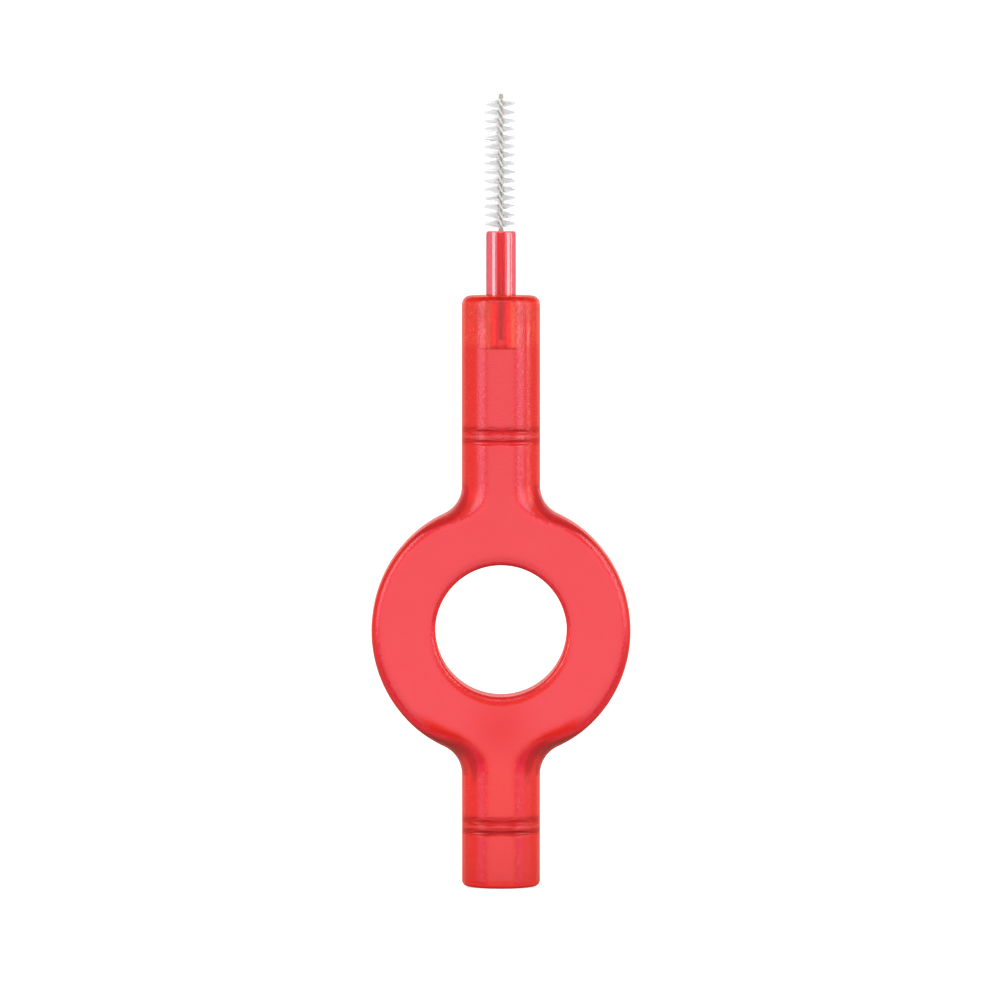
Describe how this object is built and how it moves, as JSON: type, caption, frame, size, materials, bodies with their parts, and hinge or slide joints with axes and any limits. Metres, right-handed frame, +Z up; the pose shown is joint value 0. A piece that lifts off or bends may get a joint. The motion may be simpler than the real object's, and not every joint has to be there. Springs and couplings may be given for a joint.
{
  "type": "interdental brush",
  "caption": "Interdental brush with a translucent finger-ring handle, a push-in shank and a twisted wire that holds rows of fine filaments.",
  "frame": {"origin": "centre of the lower arm's flat end", "axes": "+Z up the handle towards the brush's tip, Y along the finger ring's hole with the front facing -Y, X across the ring"},
  "size_m": [0.0208, 0.006, 0.0641],
  "materials": {
    "handle_plastic": "translucent red moulding with a fine matt texture",
    "shank_plastic": "translucent red moulding, glossy",
    "wire": "drawn stainless wire",
    "filaments": "translucent white nylon"
  },
  "bodies": {
    "handle": {"ring_handle": "handle_plastic"},
    "brush": {"brush_shank": "shank_plastic", "wire_tail_in_shank": "wire"},
    "tuft": {"twisted_wire": "wire", "filament_row_01": "filaments", "filament_row_02": "filaments", "filament_row_03": "filaments", "filament_row_04": "filaments", "filament_row_05": "filaments", "filament_row_06": "filaments", "filament_row_07": "filaments", "filament_row_08": "filaments", "filament_row_09": "filaments", "filament_row_10": "filaments", "filament_row_11": "filaments", "filament_row_12": "filaments", "filament_row_13": "filaments", "filament_row_14": "filaments", "filament_row_15": "filaments"}
  },
  "joints": [
    {"name": "brush_pull", "type": "slide", "parent": "handle", "child": "brush", "axis": [0, 0, 1], "range_m": [0, 0.0043]},
    {"name": "neck_bend", "type": "hinge", "parent": "brush", "child": "tuft", "pos_m": [0, 0, 0.053], "axis": [0, 1, 0], "range_deg": [-25, 25], "stiffness_Nm_per_rad": 0.008}
  ]
}
